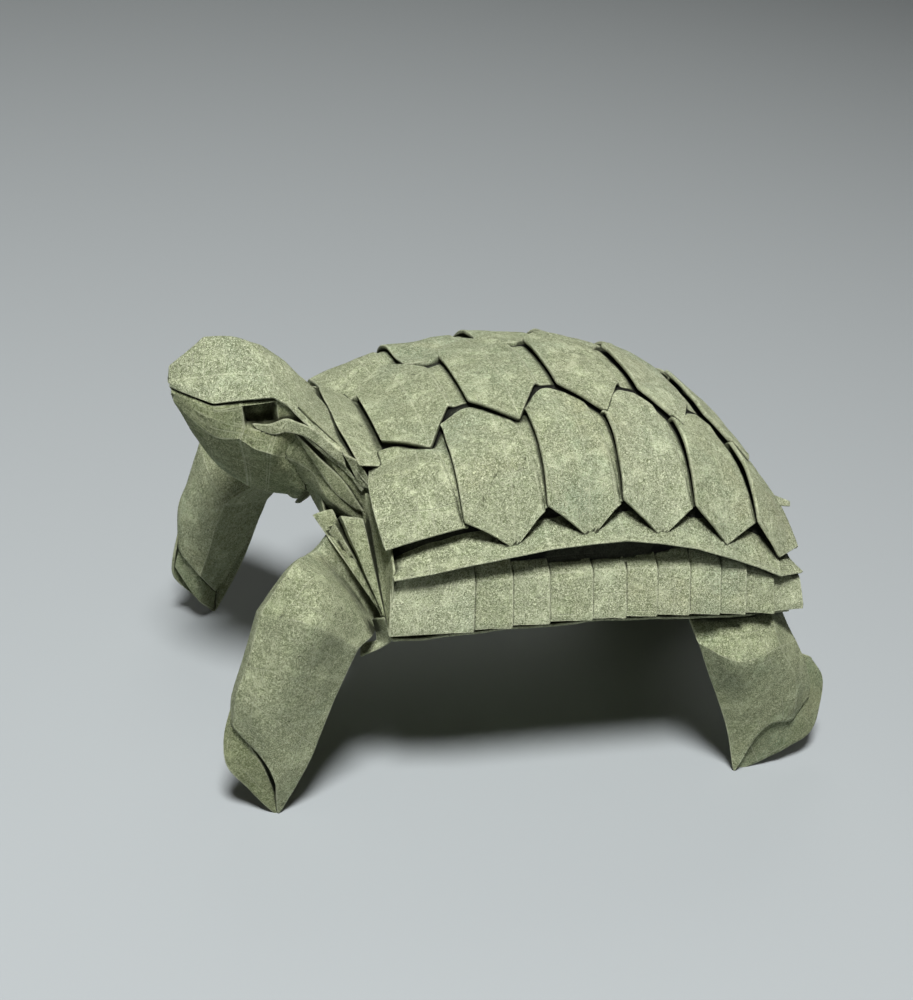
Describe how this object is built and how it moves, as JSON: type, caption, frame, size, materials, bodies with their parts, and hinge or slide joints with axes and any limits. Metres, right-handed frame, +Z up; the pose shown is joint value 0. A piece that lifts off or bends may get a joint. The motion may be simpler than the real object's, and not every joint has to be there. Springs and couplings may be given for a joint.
{
  "type": "folded paper turtle",
  "caption": "Turtle folded from one square of paper, standing on four pointed feet, with a pleated scute shell, a banded rim and a raised head.",
  "frame": {"origin": "middle of the footprint on the surface that the feet stand on", "axes": "+X towards the head, +Y to the turtle's left, +Z up"},
  "size_m": [0.1234, 0.0772, 0.0755],
  "materials": {
    "paper": "matte mottled grey-green fibrous paper"
  },
  "bodies": {
    "root": {"folded_turtle": "paper"}
  },
  "joints": []
}
